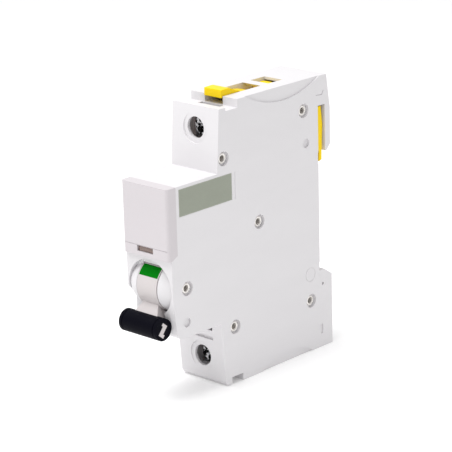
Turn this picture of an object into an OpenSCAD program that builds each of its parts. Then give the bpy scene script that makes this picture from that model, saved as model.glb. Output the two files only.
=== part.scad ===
// One-pole modular circuit breaker for a 35 mm mounting rail, built as an assembly.
// +X is the right side seen from the front, +Y points back to the rail and +Z is up.
// The origin is the centre of the rail seat, on the face that rests against the rail.

/* [Case] */
// Width of the case, one module
case_w = 18; // [16.5:0.5:22]
// Height of the case
case_h = 85; // [83:1:104]
// Depth from the rail seat to the front of the nose
front_d = 64.5; // [62:0.5:78]
// Depth of the jaws behind the rail seat
jaw_d = 5.5; // [5:0.1:7]
// Height of the nose
nose_h = 45; // [44:0.5:50]
// Depth from the rail seat to the shoulders beside the nose
shoulder_d = 44; // [43.5:0.1:46]
// How far a shoulder face leans back over its height
shoulder_lean = 1.4; // [0.5:0.1:2]
// Thickness of the side walls
wall = 1.2; // [0.9:0.1:1.6]
// Distance of the parting line to the left of the centre
split_offset = 1.3; // [0:0.1:2]
// Depth of the countersinks, reliefs and label seat in the side faces
relief = 0.3; // [0.1:0.05:0.5]

/* [Rail] */
// Height of the mounting rail
rail_h = 35; // [35:35]
// Thickness of the rail's flanges
rail_t = 1; // [0.8:0.1:1.5]
// Free play of the lower rail edge in the fixed jaw
rail_play = 0.3; // [0.1:0.1:0.6]
// Height above the rail's upper edge that the recess leaves for tilting on
rail_tilt = 1.7; // [1.2:0.1:2.5]

/* [Rail clips] */
// Half width of a clip's arm
clip_half = 3.3; // [2.8:0.1:3.6]
// Thickness of a clip's arm and leg
clip_t = 1.4; // [1.1:0.1:1.7]
// How far a clip pulls out
clip_travel = 2.6; // [2.2:0.1:2.8]
// How far a clip's hook reaches behind the rail's flange
hook_grip = 1.35; // [1:0.05:2]

/* [Nose] */
// Depth of the front cap
cap_d = 3.6; // [3:0.1:4.5]
// Height of the cap's lower edge
cap_low = 1.4; // [0.5:0.1:2.5]
// How far the boss around the toggle lies behind the cap's front
boss_back = 1.1; // [0.9:0.1:1.6]
// Radius of the round recess that holds the toggle's cheeks
bowl_r = 8.4; // [8:0.1:8.8]
// Depth of the recess
bowl_d = 1.8; // [1.2:0.1:2.2]
// How much smaller the cheeks are at the side faces than beside the drum
cheek_drop = 2.6; // [2:0.1:3.2]

/* [Toggle] */
// Distance of the toggle's pivot behind the nose front
pivot_back = 7; // [6.5:0.1:7.5]
// Height of the toggle's pivot
pivot_z = -8; // [-8.4:0.1:-7.6]
// Radius of the toggle's drum
drum_r = 7.4; // [7:0.1:7.6]
// Half width of the drum
drum_half = 3.9; // [3.4:0.1:4.2]
// Distance from the pivot to the centre of the grip
reach = 13.4; // [13:0.1:15]
// Radius of the grip
grip_r = 3.3; // [2.8:0.1:3.6]
// Half length of the grip
grip_half = 7.3; // [6:0.1:7.8]
// How far the toggle hangs below horizontal when off
off_angle = 50.5; // [48:0.5:52]
// Travel of the toggle from off to on
travel = 85; // [78:1:86]

/* [Switch mechanism] */
// Radius of the drive pin's circle on the drum
crank_r = 3; // [2.8:0.1:3.3]
// Radius of the drive link's wire
link_wire_r = 0.6; // [0.5:0.05:0.7]
// Depth of the contact carrier's pivot from the rail seat
carrier_d = 39; // [38.5:0.1:39.5]
// Height of the contact carrier's pivot
carrier_z = 11; // [10.5:0.1:11.5]
// Distance from the carrier's pivot to the link
rocker_r = 16; // [15.5:0.1:16.5]
// Distance from the carrier's pivot to the contact tip
contact_r = 26.5; // [26:0.1:27]
// Radius of the pivot pins
pin_r = 1.2; // [1:0.1:1.4]

/* [Trip system] */
// Height of the coil's axis
coil_z = 19.5; // [19:0.1:20]
// Radius of the coil's wire
coil_wire_r = 0.9; // [0.7:0.05:1]
// Turns of the coil
coil_turns = 9; // [6:1:9]
// Radius of the plunger
plunger_r = 2.7; // [2.2:0.1:2.8]
// Travel of the plunger
plunger_travel = 1.6; // [1:0.1:1.8]
// Thickness of the bimetal strip
bimetal_t = 0.7; // [0.5:0.05:0.9]

/* [Arc chute] */
// Number of arc plates
plate_count = 9; // [6:1:9]
// Thickness of an arc plate
plate_t = 1; // [0.7:0.1:1.1]
// Distance between arc plates
plate_pitch = 1.75; // [1.5:0.05:1.8]

/* [Terminals] */
// Distance of a terminal screw from the end of the case
terminal_in = 8; // [7.8:0.1:8.5]
// Radius of a terminal screw's head
screw_head_r = 2.9; // [2.5:0.1:3]
// Radius of a terminal screw's shank
screw_r = 2; // [1.75:0.05:2.25]
// How far a terminal screw's head lies below the shoulder
screw_sink = 3; // [2.6:0.1:3.2]
// How far the screw closes the clamp
clamp_travel = 2.7; // [2:0.1:2.8]

/* [Fasteners] */
// Radius of a case rivet's shank
rivet_r = 1.25; // [1:0.05:1.4]
// Radius of a case rivet's rolled rim
rivet_rim_r = 1.6; // [1.5:0.05:1.8]

/* [Hidden] */
$fn = 48;

// Clearances
slip = 0.05;     // radial running fit of a pin in its bore
gap = 0.3;       // free air between moving pieces
seat = 0.1;      // gap between a fitted piece and its pocket
over = 1;        // how far a cut runs past the face it opens
slab = 1.2;      // thickness of the walls between the inner rooms

// Case
half_w = case_w / 2;
in_half = half_w - wall;
top = case_h / 2;
split_x = -split_offset;
nose_y = -front_d;
nose_top = nose_h / 2;
shoulder_y = -shoulder_d;
shoulder_top = top - 1.5;
foot_low = top - 0.3;
notch_front = -40;
notch_back = -35;
notch_z = top - 2.5;
foot_notch_z = top - 2.3;
roof = 0.8;
recess_top = rail_h / 2 + rail_tilt;
recess_low = -(rail_h / 2 + rail_play);
back_top_y = jaw_d - 1.5;
lower_reach = 0.7;                       // how much further the lower clip's hook reaches
seat_back = 0.2;                         // how far the seat steps back behind the hooks
seat_top = rail_h / 2 - hook_grip - 0.4;
seat_low = -(rail_h / 2 - hook_grip - lower_reach - 0.4);
label_y = [-59.8, -38];
label_z = [13.5, 21.6];
mark = relief / 3;                       // depth of the finest marks
dimples = [[-5.5, 23.2], [-58, -18]];
arc_mark_y = -15.3;
upper_arc_r = 32.3;
upper_arc_z = top + 28;
lower_arc_r = 21.4;
lower_arc_z = -top - 18;

// Nose
cap_back = nose_y + cap_d;
cap_wall = 1.2;
cap_r = 1;
cap_seam = 4.35;
boss_y = nose_y + boss_back;
boss_straight = -11;
boss_low_y = boss_y + 1.2;
boss_corner = 2.4;
block_back = boss_y + 3.2;
block_low_back = block_back + 1.6;
block_low_z = -10;
window_x0 = -3.5;
window_x1 = 2.8;
window_z0 = 2.6;
window_z1 = 4.3;

// Toggle
pivot_y = nose_y + pivot_back;
neck_half_t = 1.6;
neck_in = 3;
neck_out = 4.5;
tongue_t = 1.5;
flag_half = drum_half - 0.25;
flag_t = 0.5;
flag_from = 28;
flag_to = 56;
slot_half = drum_half + 0.25;
slot_margin = asin((neck_half_t + slip) / (drum_r + gap));
slot_low = off_angle + slot_margin;
slot_high = travel - off_angle + slot_margin;

// Four-bar linkage: halfway through its travel the crank points straight up
mid_turn = travel / 2;
crank_up = crank_r * cos(mid_turn);
crank_out = crank_r * sin(mid_turn);
carrier_y = -carrier_d;
rocker_half = asin(crank_out / rocker_r);
crank_y = pivot_y - crank_out;
crank_z = pivot_z + crank_up;
rocker_y = carrier_y - rocker_r * sin(rocker_half);
rocker_z = carrier_z - rocker_r * cos(rocker_half);
link_x = 5;
hub_half = 2.8;
hub_r = 3.2;
slot_rise = 1.15;
arm_back = 1.4;
arm_t = 0.8;
arm_half = 1.9;
tip_t = 1.2;
tip_r = 1.7;
strap_y = -31;
strap_t = 0.8;
rib_z = -19.4;
rib_t = 1;
strap_z0 = rib_z + 0.8;
strap_z1 = 11.1;

// Trip system
coil_room = top - terminal_in - 6 - slab - 1.2 - coil_z;   // height that the upper terminal leaves
coil_y0 = -30.8;
coil_y1 = -11;
flange_t = 1;
bore_r = plunger_r + slip + 0.03;
tube_t = 0.9;
flange_r = min(in_half - 1.2, coil_room);
rod_r = 1.1;
rod_y0 = -37.6;
core_y0 = -26;
core_y1 = -13.5;
pole_y1 = core_y0 - plunger_travel - 0.4;
yoke_t = 1.1;
yoke_top = coil_z + flange_r + 0.2;
lever_half = 2.5;
lever_hub_r = 2.2;
lever_pin_r = 1;
lever_y = -44;
lever_z = coil_z - 5.5;
bimetal_x0 = -in_half + 0.6;
bimetal_x1 = -4;
bimetal_y = -47.5;
bimetal_z0 = -18;
bimetal_z1 = nose_top - wall - 0.4;
bracket_z = rib_z;
stem_x0 = -5.4;
stem_y0 = -41.8;
stem_y1 = -41;
adjust_x = bimetal_x0 + 1.7;
adjust_y = bimetal_y + 3;
adjust_r = 0.8;

// Arc chute
chute_half = 6.2;
chute_y0 = -27;
chute_y1 = -9;

// Terminals
terminal_z = top - terminal_in;
room_half = in_half - 2;
room_z0 = terminal_z - 6;
room_z1 = notch_z - 1.2;
room_y0 = -41.9;
room_y1 = -32.2;
wire_y0 = notch_front + 0.2;
wire_y1 = notch_back - 0.4;
wire_half = 4.2;
face_y = shoulder_y + shoulder_lean * (terminal_z - nose_top) / (shoulder_top - nose_top);
access_r = screw_head_r + gap;
head_y = face_y + screw_sink;
head_t = 1.6;
plate_y = head_y + head_t;
plate_thick = 1;
bar_y = plate_y + plate_thick + clamp_travel + 0.4;
bar_t = 2;
ring_r = 4.6;
bar_half = 4.4;
bar_tongue_z = room_z0 + 0.4;
bar_foot_z = -room_z0 - 0.9;
clamp_half = 4;

// Cavity
cavity_top = top - 6.3;
trough_y0 = -31.5;
trough_half = clip_half + 0.2;
arm_z = top - 4.9;
arm_top = arm_z + clip_t;
channel_z0 = arm_z - 0.2;
channel_z1 = arm_top + clip_travel + seat;
leg_y0 = 0.3;
leg_y1 = leg_y0 + clip_t + 1;
leg_half = half_w - 0.7;
hook_y0 = rail_t + 0.2;
hook_y1 = hook_y0 + 1.1;
side_slot_top = top - 9;
side_slot_y1 = leg_y1 + 0.5;
lower_leg_half = 5;

// Rivet centres, depth and height; the toggle turns on the last one
rivets = [
    [-6.4, 33.3], [-41.2, 26.4], [-26.7, 4.2], [-38.1, -25], [-4.15, -26.4], [pivot_y, pivot_z]
];
boss_r = 2.4;
sink_r = 2.15;
sink_d = 1;

// ---- Helpers ----

// An outline of depth and height, drawn out along the width
module slab_x(x0, x1) {
    translate([x0, 0, 0]) rotate([90, 0, 90]) linear_extrude(x1 - x0) children();
}

module box(x, y, z) {
    translate([x[0], y[0], z[0]]) cube([x[1] - x[0], y[1] - y[0], z[1] - z[0]]);
}

module rod_x(x, y, z, r) {
    translate([x[0], y, z]) rotate([0, 90, 0]) cylinder(h = x[1] - x[0], r = r);
}

module rod_y(x, y, z, r) {
    translate([x, y[0], z]) rotate([-90, 0, 0]) cylinder(h = y[1] - y[0], r = r);
}

module rod_z(x, y, z, r) {
    translate([x, y, z[0]]) cylinder(h = z[1] - z[0], r = r);
}

// A straight round wire from one point to another
module wire(p, q, r) {
    d = q - p;
    translate(p) rotate([0, acos(d[2] / norm(d)), atan2(d[1], d[0])]) cylinder(h = norm(d), r = r);
}

// The bend where two wires of one radius meet
module bend(p, r) {
    translate(p) sphere(r = r * 1.06, $fn = 24);
}

// One turn of wire around an axis along the width
module turn_x(x, y, z, r, wire_r) {
    translate([x, y, z]) rotate([0, 90, 0]) rotate_extrude() translate([r, 0]) circle(r = wire_r, $fn = 16);
}

// One turn of wire around an axis along the depth
module turn_y(x, y, z, r, wire_r) {
    translate([x, y, z]) rotate([-90, 0, 0]) rotate_extrude() translate([r, 0]) circle(r = wire_r, $fn = 16);
}

// Turns of a torsion spring side by side, joined where one runs into the next
module torsion_spring(x, y, z, r, wire_r, turns) {
    pitch = 2.3 * wire_r;
    for (i = [0:turns - 1]) turn_x(x + i * pitch, y, z, r, wire_r);
    wire([x, y, z - r], [x + (turns - 1) * pitch, y, z - r], 0.7 * wire_r);
}

// Points of an arc in depth and height
function arc(c, r, a0, a1, n) =
    [for (i = [0:n]) let (a = a0 + (a1 - a0) * i / n) c + r * [cos(a), sin(a)]];

// ---- Case ----

function outline() = concat(
    [[cap_back, nose_top], [cap_back, cap_low + 1.2], [boss_y, cap_low], [boss_y, boss_straight]],
    arc([boss_low_y + boss_corner, -nose_top + boss_corner], boss_corner, 180, 270, 6),
    [
        [shoulder_y, -nose_top], [shoulder_y + shoulder_lean, -shoulder_top],
        [shoulder_y + shoulder_lean + 0.8, -foot_low], [notch_front - 0.1, -foot_low],
        [notch_front - 0.1, -foot_notch_z], [notch_back - 0.3, -foot_notch_z],
        [notch_back - 0.3, -top], [jaw_d, -top], [jaw_d, recess_low - 2.3], [2.1, recess_low],
        [-seat_back, recess_low], [-seat_back, seat_low], [0, seat_low], [0, seat_top],
        [-seat_back, seat_top], [-seat_back, recess_top],
        [jaw_d - 1.7, recess_top], [jaw_d, recess_top + 1.8],
        [jaw_d, top - 10.5], [back_top_y, top], [notch_back, top], [notch_back, notch_z],
        [notch_front, notch_z], [notch_front, shoulder_top],
        [shoulder_y + shoulder_lean, shoulder_top], [shoulder_y, nose_top]
    ]);

// The hollow rooms inside the case
module rooms() {
    box([-in_half, in_half], [cap_back + wall, shoulder_y + 1.5], [cap_low + 2, nose_top - wall]);
    box([-in_half, in_half], [block_back, shoulder_y + 1.5], [block_low_z - over, nose_top - wall]);
    box([-in_half, in_half], [block_low_back, shoulder_y + 1.5], [-nose_top + wall + 0.3, block_low_z]);
    box([-in_half, in_half], [-42.8, -wall], [-room_z0 + slab, room_z0 - slab]);
    box([-in_half, in_half], [room_y1 + slab, -wall], [-cavity_top, cavity_top]);
    spring_pocket();
}

module spring_pocket() {
    rod_x([-in_half, 0], pivot_y, pivot_z, boss_r + 1.5);
}

// What one terminal takes out of the case, drawn for the upper one
module terminal_cuts() {
    box([-room_half, room_half], [room_y0, room_y1], [room_z0, room_z1]);
    box([-wire_half, wire_half], [wire_y0, wire_y1], [room_z1 - over, top + over]);
    rod_y(0, [shoulder_y - over, room_y0 + over], terminal_z, access_r);
    rod_y(0, [shoulder_y - over, face_y + relief], terminal_z, ring_r);
    rod_y(0, [room_y1 - over, room_y1 + slab + over], terminal_z, screw_r + gap);
}

// The trough, the slots and the channel of one clip's arm, drawn for the upper one
module arm_channel() {
    x = [-trough_half, trough_half];
    box(x, [-28, -20], [channel_z0, top + over]);
    box(x, [-15.5, -9.4], [channel_z0, top + over]);
    box(x, [trough_y0, leg_y1 + seat], [channel_z0, channel_z1]);
    box(x, [notch_back - over, trough_y0 + over], [notch_z, top + over]);
    slab_x(-trough_half, trough_half)
        polygon([[trough_y0, top + over], [trough_y0, channel_z0], [-23.6, channel_z0], [-18, channel_z1],
                 [-18, top - roof], [-20, top + over]]);
}

module upper_clip_cuts() {
    arm_channel();
    box([-trough_half, trough_half], [leg_y0 - seat, leg_y1 + seat], [side_slot_top - over, channel_z1]);
    box([-leg_half - seat, leg_half + seat], [leg_y0 - seat, leg_y1 + seat],
        [side_slot_top - over, side_slot_top + clip_travel]);
    box([-half_w - over, half_w + over], [0, side_slot_y1], [recess_top - over, side_slot_top]);
}

module lower_clip_cuts() {
    mirror([0, 0, 1]) {
        box([-trough_half, trough_half], [notch_back + 0.3, leg_y1 + seat], [channel_z0, channel_z1]);
        box([-trough_half, trough_half], [notch_back + 0.3, -24], [channel_z0, top + over]);
        box([-lower_leg_half - 0.2, lower_leg_half + 0.2], [leg_y0 - seat, hook_y1 + seat],
            [-recess_low - over, channel_z1]);
    }
}

// The space that the toggle's neck sweeps
module toggle_sweep() {
    slab_x(-slot_half - 0.6, slot_half + 0.6)
        polygon([[pivot_y, pivot_z], [pivot_y - 14 * cos(slot_low), pivot_z - 14 * sin(slot_low)],
                 [pivot_y - 16, pivot_z - 14 * sin(slot_low)], [pivot_y - 16, pivot_z + 14 * sin(slot_high)],
                 [pivot_y - 14 * cos(slot_high), pivot_z + 14 * sin(slot_high)]]);
}

// The round recess in the front of the boss, and the step back on its lower left
module bowl() {
    rod_y(0, [boss_y - over, boss_y + bowl_d], pivot_z, bowl_r);
    slab_x(-half_w - over, -slot_half - 0.6)
        polygon([[boss_y - over, pivot_z - 1], [boss_y, pivot_z - 1], [block_back, pivot_z - 5],
                 [block_back, -nose_top + 3], [boss_y, -nose_top + 1.5], [boss_y - over, -nose_top + 1.5]]);
}

// Rounded cheeks beside the drum, turned around its pivot and smaller towards the side faces
module cheeks() {
    steps = [for (i = [-6:6]) i * half_w / 6];
    difference() {
        intersection() {
            translate([0, pivot_y, pivot_z]) rotate([0, 90, 0]) rotate_extrude($fn = 96)
                polygon(concat([[0, -half_w]], [for (x = steps) [cheek_radius(x), x]], [[0, half_w]]));
            box([-half_w, half_w], [nose_y - 2, block_back], [pivot_z - drum_r, pivot_z + drum_r]);
        }
        spring_pocket();
    }
}

function cheek_radius(x) = drum_r - cheek_drop * pow(max(abs(x) - 3, 0) / (half_w - 3), 2);

// A slit in an L, a probe hole, an ejector's ring and the mould's lines near the top and bottom
module fine_marks(face) {
    slab_x(face - relief, face + relief)
        polygon([[-0.7, top - 5.6], [1.8, top - 5.8], [2.5, top - 4.6], [2.7, top - 4.7], [2, top - 6],
                 [-0.7, top - 5.8]]);
    rod_x([face - 2 * relief, face + relief], 1.3, -top + 20.2, 0.45);
    difference() {
        rod_x([face - mark, face + mark], -4.4, recess_low - 0.2, 2.2);
        rod_x([face - over, face + over], -4.4, recess_low - 0.2, 2.05);
    }
    box([face - 2 * mark, face + over], [-18.5, -18.3], [top - 3.2, top + over]);
    box([face - 2 * mark, face + over], [-15.6, -15.4], [-top - over, -top + 3.4]);
}

// Countersinks, dimples, the label's seat and the grip reliefs of one side face
module side_marks(side) {
    face = side * half_w;
    for (r = rivets) rod_x([face - sink_d, face + sink_d], r[0], r[1], sink_r);
    for (d = dimples) rod_x([face - 2 * relief, face + relief], d[0], d[1], 1.4);
    box([face - mark, face + mark], label_y, label_z);
    box([face - mark, face + mark], [label_y[1] + 1, label_y[1] + 1.4], label_z);
    box([face - relief, face + relief], [0.1, 1.1], [-top + 4.3, -top + 7.3]);
    intersection() {
        rod_x([face - 1.5 * relief, face + relief], arc_mark_y, upper_arc_z, upper_arc_r);
        box([face - over, face + over], [-40, 20], [top - 8, top + over]);
    }
    intersection() {
        rod_x([face - 1.5 * relief, face + relief], arc_mark_y, lower_arc_z, lower_arc_r);
        box([face - over, face + over], [-40, 20], [-top - over, -top + 8]);
    }
    fine_marks(face);
}

// Bosses that carry the rivets and the pivot pins
module bosses() {
    for (i = [0:4]) rod_x([-in_half - 0.1, in_half + 0.1], rivets[i][0], rivets[i][1], boss_r);
    rod_x([-in_half - 0.1, -drum_half - gap], pivot_y, pivot_z, boss_r);
    rod_x([link_x + 1, in_half + 0.1], pivot_y, pivot_z, boss_r);
    for (s = [0, 1]) mirror([s, 0, 0]) {
        rod_x([hub_half + gap, in_half + 0.1], carrier_y, carrier_z, pin_r + 1);
        rod_x([lever_half + gap, in_half + 0.1], lever_y, lever_z, lever_pin_r + 0.8);
    }
    box([-in_half - 0.1, in_half + 0.1], [strap_y + 2.5, -wall + 0.1],
        [rib_z - rib_t / 2, rib_z + rib_t / 2]);
}

module case_body() {
    difference() {
        union() {
            difference() {
                slab_x(-half_w, half_w) polygon(outline());
                rooms();
                bowl();
                toggle_sweep();
            }
            bosses();
            cheeks();
        }
        terminal_cuts();
        mirror([0, 0, 1]) terminal_cuts();
        upper_clip_cuts();
        lower_clip_cuts();
        rod_x([-slot_half, slot_half], pivot_y, pivot_z, drum_r + gap + slip);
        side_marks(1);
        side_marks(-1);
        for (r = rivets) rod_x([-half_w - over, half_w + over], r[0], r[1], rivet_r + slip);
        rod_x([-in_half - 0.4, in_half + 0.4], carrier_y, carrier_z, pin_r + slip);
        rod_x([-in_half - 0.4, in_half + 0.4], lever_y, lever_z, lever_pin_r + slip);
        for (z = [-25.1, -28]) box([-5, 5], [shoulder_y - over, shoulder_y + 1.2], [z - 0.6, z + 0.6]);
        box([-3.2, 3.2], [room_y1 - over, room_y1 + slab + over], [room_z0 - over, room_z0 + 2]);
        box([bimetal_x0 - 0.1, bimetal_x1 + 0.8], [stem_y0 - 0.2, stem_y1 + 0.2],
            [-room_z0 - over, -room_z0 + slab + over]);
    }
}

module left_case() {
    color("white") intersection() {
        case_body();
        box([-half_w, split_x], [nose_y - over, jaw_d + over], [-top - over, top + over]);
    }
}

module right_case() {
    color("white") intersection() {
        case_body();
        box([split_x, half_w], [nose_y - over, jaw_d + over], [-top - over, top + over]);
    }
}

module cap_outline(x, y0, r) {
    translate([-x, y0 + r]) square([2 * x, cap_d - r]);
    translate([-x + r, y0]) square([2 * (x - r), cap_d]);
    for (s = [-1, 1]) translate([s * (x - r), y0 + r]) circle(r = r);
}

module nose_cap() {
    color("whitesmoke") difference() {
        intersection() {
            translate([0, 0, cap_low - over]) linear_extrude(nose_top - cap_low + over)
                cap_outline(half_w, nose_y, cap_r);
            slab_x(-half_w, half_w)
                polygon([[cap_back, nose_top], [nose_y, nose_top], [nose_y, cap_low], [boss_y, cap_low],
                         [cap_back, cap_low + 1.2]]);
        }
        box([-in_half, in_half], [nose_y + cap_wall, cap_back + over], [cap_low + 2.4, nose_top - cap_wall]);
        box([window_x0 - 1, window_x1 + 1], [nose_y + cap_wall, nose_y + cap_wall + 1.4],
            [window_z0, nose_top - cap_wall]);
        box([window_x0, window_x1], [nose_y - over, nose_y + cap_wall + over], [window_z0, window_z1]);
        box([-half_w - over, half_w + over], [nose_y - over, nose_y + 0.15], [cap_seam, cap_seam + 0.15]);
    }
}

module case_rivets() {
    color("silver") for (r = rivets) difference() {
        union() {
            rod_x([-half_w + 0.5, half_w - 0.5], r[0], r[1], rivet_r);
            for (s = [0, 1]) mirror([s, 0, 0])
                rod_x([half_w - sink_d, half_w - sink_d + 0.5], r[0], r[1], rivet_rim_r);
        }
        rod_x([-half_w - over, half_w + over], r[0], r[1], rivet_r - 0.35);
    }
}

module trip_window() {
    color("rosybrown") box([window_x0, window_x1], [nose_y + 0.35, nose_y + 0.95], [window_z0, window_z1]);
}

module trip_flag() {
    front = nose_y + cap_wall + gap;
    color("red")
        box([window_x0 - 0.5, window_x1 + 0.5], [front, front + 0.8], [window_z1 + 0.6, window_z1 + 3.2]);
}

module side_label() {
    color("darkgray") for (s = [0, 1]) mirror([s, 0, 0])
        box([half_w - relief / 3, half_w - relief / 3 + 0.06], [label_y[0] + seat, label_y[1] - seat],
            [label_z[0] + seat, label_z[1] - seat]);
}

// ---- Toggle ----

// The toggle's own frame: its arm points to the front, along -Y
module toggle_frame() {
    translate([0, pivot_y, pivot_z]) rotate([off_angle, 0, 0]) children();
}

module neck() {
    translate([0, 0, -neck_half_t]) linear_extrude(2 * neck_half_t)
        polygon([[-neck_in, -drum_r + 1], [-neck_in, -drum_r], [-neck_out, -reach + grip_r - 0.6],
                 [-neck_out, -reach + 0.8], [neck_out, -reach + 0.8], [neck_out, -reach + grip_r - 0.6],
                 [neck_in, -drum_r], [neck_in, -drum_r + 1]]);
}

module tongue() {
    box([-grip_half, grip_half], [-reach - 2.1, -reach + 1.6], [-tongue_t / 2, tongue_t / 2]);
    box([-grip_half, grip_half], [-reach - 2.1, -reach - 1.1], [-tongue_t / 2 - 0.7, tongue_t / 2]);
    box([-grip_half, grip_half], [-reach + 0.7, -reach + 1.6], [-tongue_t / 2, tongue_t / 2 + 0.6]);
}

module flag_segment(x, r0, r1) {
    intersection() {
        difference() {
            rod_x([-x, x], pivot_y, pivot_z, r1);
            rod_x([-x - over, x + over], pivot_y, pivot_z, r0);
        }
        slab_x(-x, x) polygon([[pivot_y, pivot_z],
                               [pivot_y - 12 * cos(flag_from), pivot_z + 12 * sin(flag_from)],
                               [pivot_y - 12 * cos(flag_to), pivot_z + 12 * sin(flag_to)]]);
    }
}

module toggle_drum() {
    color("white") difference() {
        union() {
            rod_x([-drum_half, drum_half], pivot_y, pivot_z, drum_r);
            toggle_frame() {
                neck();
                tongue();
            }
        }
        rod_x([-half_w, half_w], pivot_y, pivot_z, rivet_r + slip);
        rod_x([-half_w, half_w], crank_y, crank_z, link_wire_r + slip);
        flag_segment(flag_half, drum_r - flag_t, drum_r + over);
    }
}

module toggle_grip() {
    color("black") toggle_frame() difference() {
        rod_x([-grip_half, grip_half], -reach, 0, grip_r);
        neck();
        tongue();
        for (x = [-1, 1]) rod_groove(x * (grip_half - 1.2));
    }
}

module rod_groove(x) {
    difference() {
        rod_x([x - 0.15, x + 0.15], -reach, 0, grip_r + over);
        rod_x([x - over, x + over], -reach, 0, grip_r - 0.15);
    }
}

module position_flag() {
    color("green") flag_segment(flag_half, drum_r - flag_t, drum_r);
}

module toggle_spring() {
    r = boss_r + 0.7;
    x = -drum_half - 2.6;
    color("silver") {
        torsion_spring(x, pivot_y, pivot_z, r, 0.35, 3);
        wire([x, pivot_y + r, pivot_z], [x, pivot_y + r, pivot_z + 6], 0.3);
    }
}

module drive_link() {
    p = [link_x, crank_y, crank_z];
    q = [link_x, rocker_y, rocker_z];
    color("silver") {
        wire([-drum_half + 0.5, crank_y, crank_z], p, link_wire_r);
        bend(p, link_wire_r);
        wire(p, q, link_wire_r);
        bend(q, link_wire_r);
        wire(q, [-hub_half + 0.4, rocker_y, rocker_z], link_wire_r);
    }
}

// ---- Contacts ----

// The carrier's own frame at rest: its arm hangs straight down
module carrier_frame() {
    translate([0, carrier_y, carrier_z]) rotate([-rocker_half, 0, 0]) children();
}

// The same frame with the contacts closed
module closed_frame() {
    translate([0, carrier_y, carrier_z]) rotate([rocker_half, 0, 0]) children();
}

module contact_carrier() {
    slot_r = link_wire_r + 0.15;
    color("dimgray") carrier_frame() difference() {
        union() {
            rod_x([-hub_half, hub_half], 0, 0, hub_r);
            box([-hub_half, hub_half], [-2.2, arm_back], [-rocker_r - 3.5, 0]);
            rod_x([-hub_half, hub_half], -0.4, -rocker_r, 2.2);
            box([-hub_half, hub_half], [-1.6, 0.2], [0, 4.6]);
        }
        rod_x([-half_w, half_w], 0, 0, pin_r + slip);
        rod_x([-half_w, half_w], 0, -rocker_r - 0.1, slot_r);
        rod_x([-half_w, half_w], 0, -rocker_r + slot_rise, slot_r);
        box([-half_w, half_w], [-slot_r, slot_r], [-rocker_r - 0.1, -rocker_r + slot_rise]);
        box([-half_w, half_w], [arm_back, 4], [-rocker_r - 4, -8]);
    }
}

module moving_contact() {
    color("peru") carrier_frame() {
        box([-arm_half, arm_half], [arm_back, arm_back + arm_t], [-contact_r - 2, -10]);
        box([-arm_half - 2.3, arm_half], [arm_back, arm_back + arm_t], [-13, -11]);
    }
}

module moving_contact_tip() {
    color("silver") carrier_frame()
        rod_y(0, [arm_back + arm_t, arm_back + arm_t + tip_t], -contact_r, tip_r);
}

module fixed_contact_tip() {
    front = arm_back + arm_t + tip_t + seat;
    color("silver") intersection() {
        closed_frame() rod_y(0, [front, front + 6], -contact_r, tip_r);
        box([-half_w, half_w], [nose_y, strap_y], [-top, top]);
    }
}

module fixed_contact() {
    color("peru") {
        box([-arm_half, arm_half], [strap_y, strap_y + strap_t], [strap_z0, strap_z1]);
        box([-arm_half, arm_half], [strap_y, coil_y0 + 3], [strap_z1 - strap_t, strap_z1]);
    }
}

module pivot_pins() {
    color("silver") {
        rod_x([-in_half - 0.3, in_half + 0.3], carrier_y, carrier_z, pin_r);
        rod_x([-in_half - 0.3, in_half + 0.3], lever_y, lever_z, lever_pin_r);
    }
}

module contact_spring() {
    r = pin_r + 1.6;
    color("silver") {
        torsion_spring(hub_half + 0.7, carrier_y, carrier_z, r, 0.3, 3);
        wire([hub_half + 0.7, carrier_y + r, carrier_z], [hub_half + 0.7, carrier_y + r, carrier_z - 7],
             0.25);
    }
}

// ---- Trip system ----

module coil() {
    pitch = (coil_y1 - coil_y0 - 2 * flange_t - 2 * coil_wire_r - 2 * seat) / (coil_turns - 1);
    mean_r = bore_r + tube_t + coil_wire_r + slip;
    first = coil_y0 + flange_t + coil_wire_r + seat;
    last = first + pitch * (coil_turns - 1);
    color("peru") {
        for (i = [0:coil_turns - 1]) turn_y(0, first + i * pitch, coil_z, mean_r, coil_wire_r);
        for (i = [0:coil_turns - 2])
            wire([0, first + i * pitch, coil_z + mean_r], [0, first + (i + 1) * pitch, coil_z + mean_r],
                 coil_wire_r * 0.7);
        rod_z(0, first, [strap_z1, coil_z - mean_r], coil_wire_r * 0.9);
        rod_z(mean_r, last, [coil_z, bar_tongue_z], coil_wire_r * 0.9);
    }
}

module coil_bobbin() {
    color("ivory") difference() {
        union() {
            rod_y(0, [coil_y0, coil_y1], coil_z, bore_r + tube_t);
            rod_y(0, [coil_y0, coil_y0 + flange_t], coil_z, flange_r);
            rod_y(0, [coil_y1 - flange_t, coil_y1], coil_z, flange_r);
        }
        rod_y(0, [coil_y0 - over, coil_y1 + over], coil_z, bore_r);
    }
}

module plunger() {
    color("gray") {
        rod_y(0, [core_y0, core_y1], coil_z, plunger_r);
        rod_y(0, [rod_y0 + rod_r, core_y0], coil_z, rod_r);
        translate([0, rod_y0 + rod_r, coil_z]) sphere(r = rod_r, $fn = 24);
    }
}

module plunger_spring() {
    color("silver") for (i = [0:2]) turn_y(0, pole_y1 + 0.4 + i * 0.6, coil_z, rod_r + 0.8, 0.3);
}

module pole_piece() {
    color("gray") difference() {
        rod_y(0, [coil_y0 + seat, pole_y1], coil_z, bore_r - slip);
        rod_y(0, [coil_y0 - over, pole_y1 + over], coil_z, rod_r + slip + 0.03);
    }
}

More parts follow.
